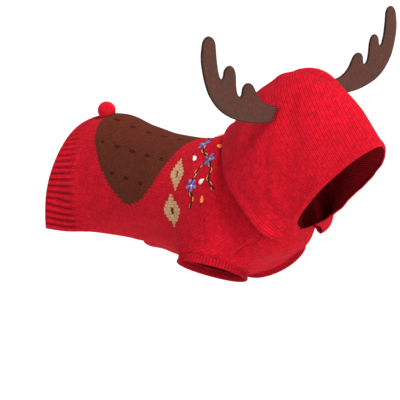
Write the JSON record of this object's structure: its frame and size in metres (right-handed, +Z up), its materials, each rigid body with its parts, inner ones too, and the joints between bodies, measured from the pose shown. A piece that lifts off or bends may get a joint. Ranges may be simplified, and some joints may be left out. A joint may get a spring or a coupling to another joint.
{
  "type": "hooded dog sweater",
  "caption": "Hooded knitted sweater for a small dog, hollow as worn, with felt antlers on the hood, ribbed hem and leg bands and a pompom at the rear.",
  "frame": {"origin": "the point on the wearer's back where the sweater is held up: on the spine, just under the middle of the back panel", "axes": "+X forward to the wearer's head, +Y to the wearer's left, +Z up off the wearer's back"},
  "size_m": [0.5264, 0.2823, 0.3197],
  "materials": {
    "back_knit": "matte stockinette knit in red, brown and beige yarn with embroidery",
    "red_knit": "matte stockinette knit in red acrylic yarn",
    "rib_knit": "matte ribbed knit in red acrylic yarn",
    "brown_felt": "matte heathered brown felt",
    "pompom_yarn": "matte cut red yarn"
  },
  "bodies": {
    "root": {"back_panel": "back_knit", "hem_rib": "rib_knit", "chest_panel": "red_knit", "leg_rib_left": "rib_knit", "leg_rib_right": "rib_knit", "hood_left": "red_knit", "hood_right": "red_knit", "antler_left": "brown_felt", "antler_right": "brown_felt", "pompom": "pompom_yarn"}
  },
  "joints": []
}
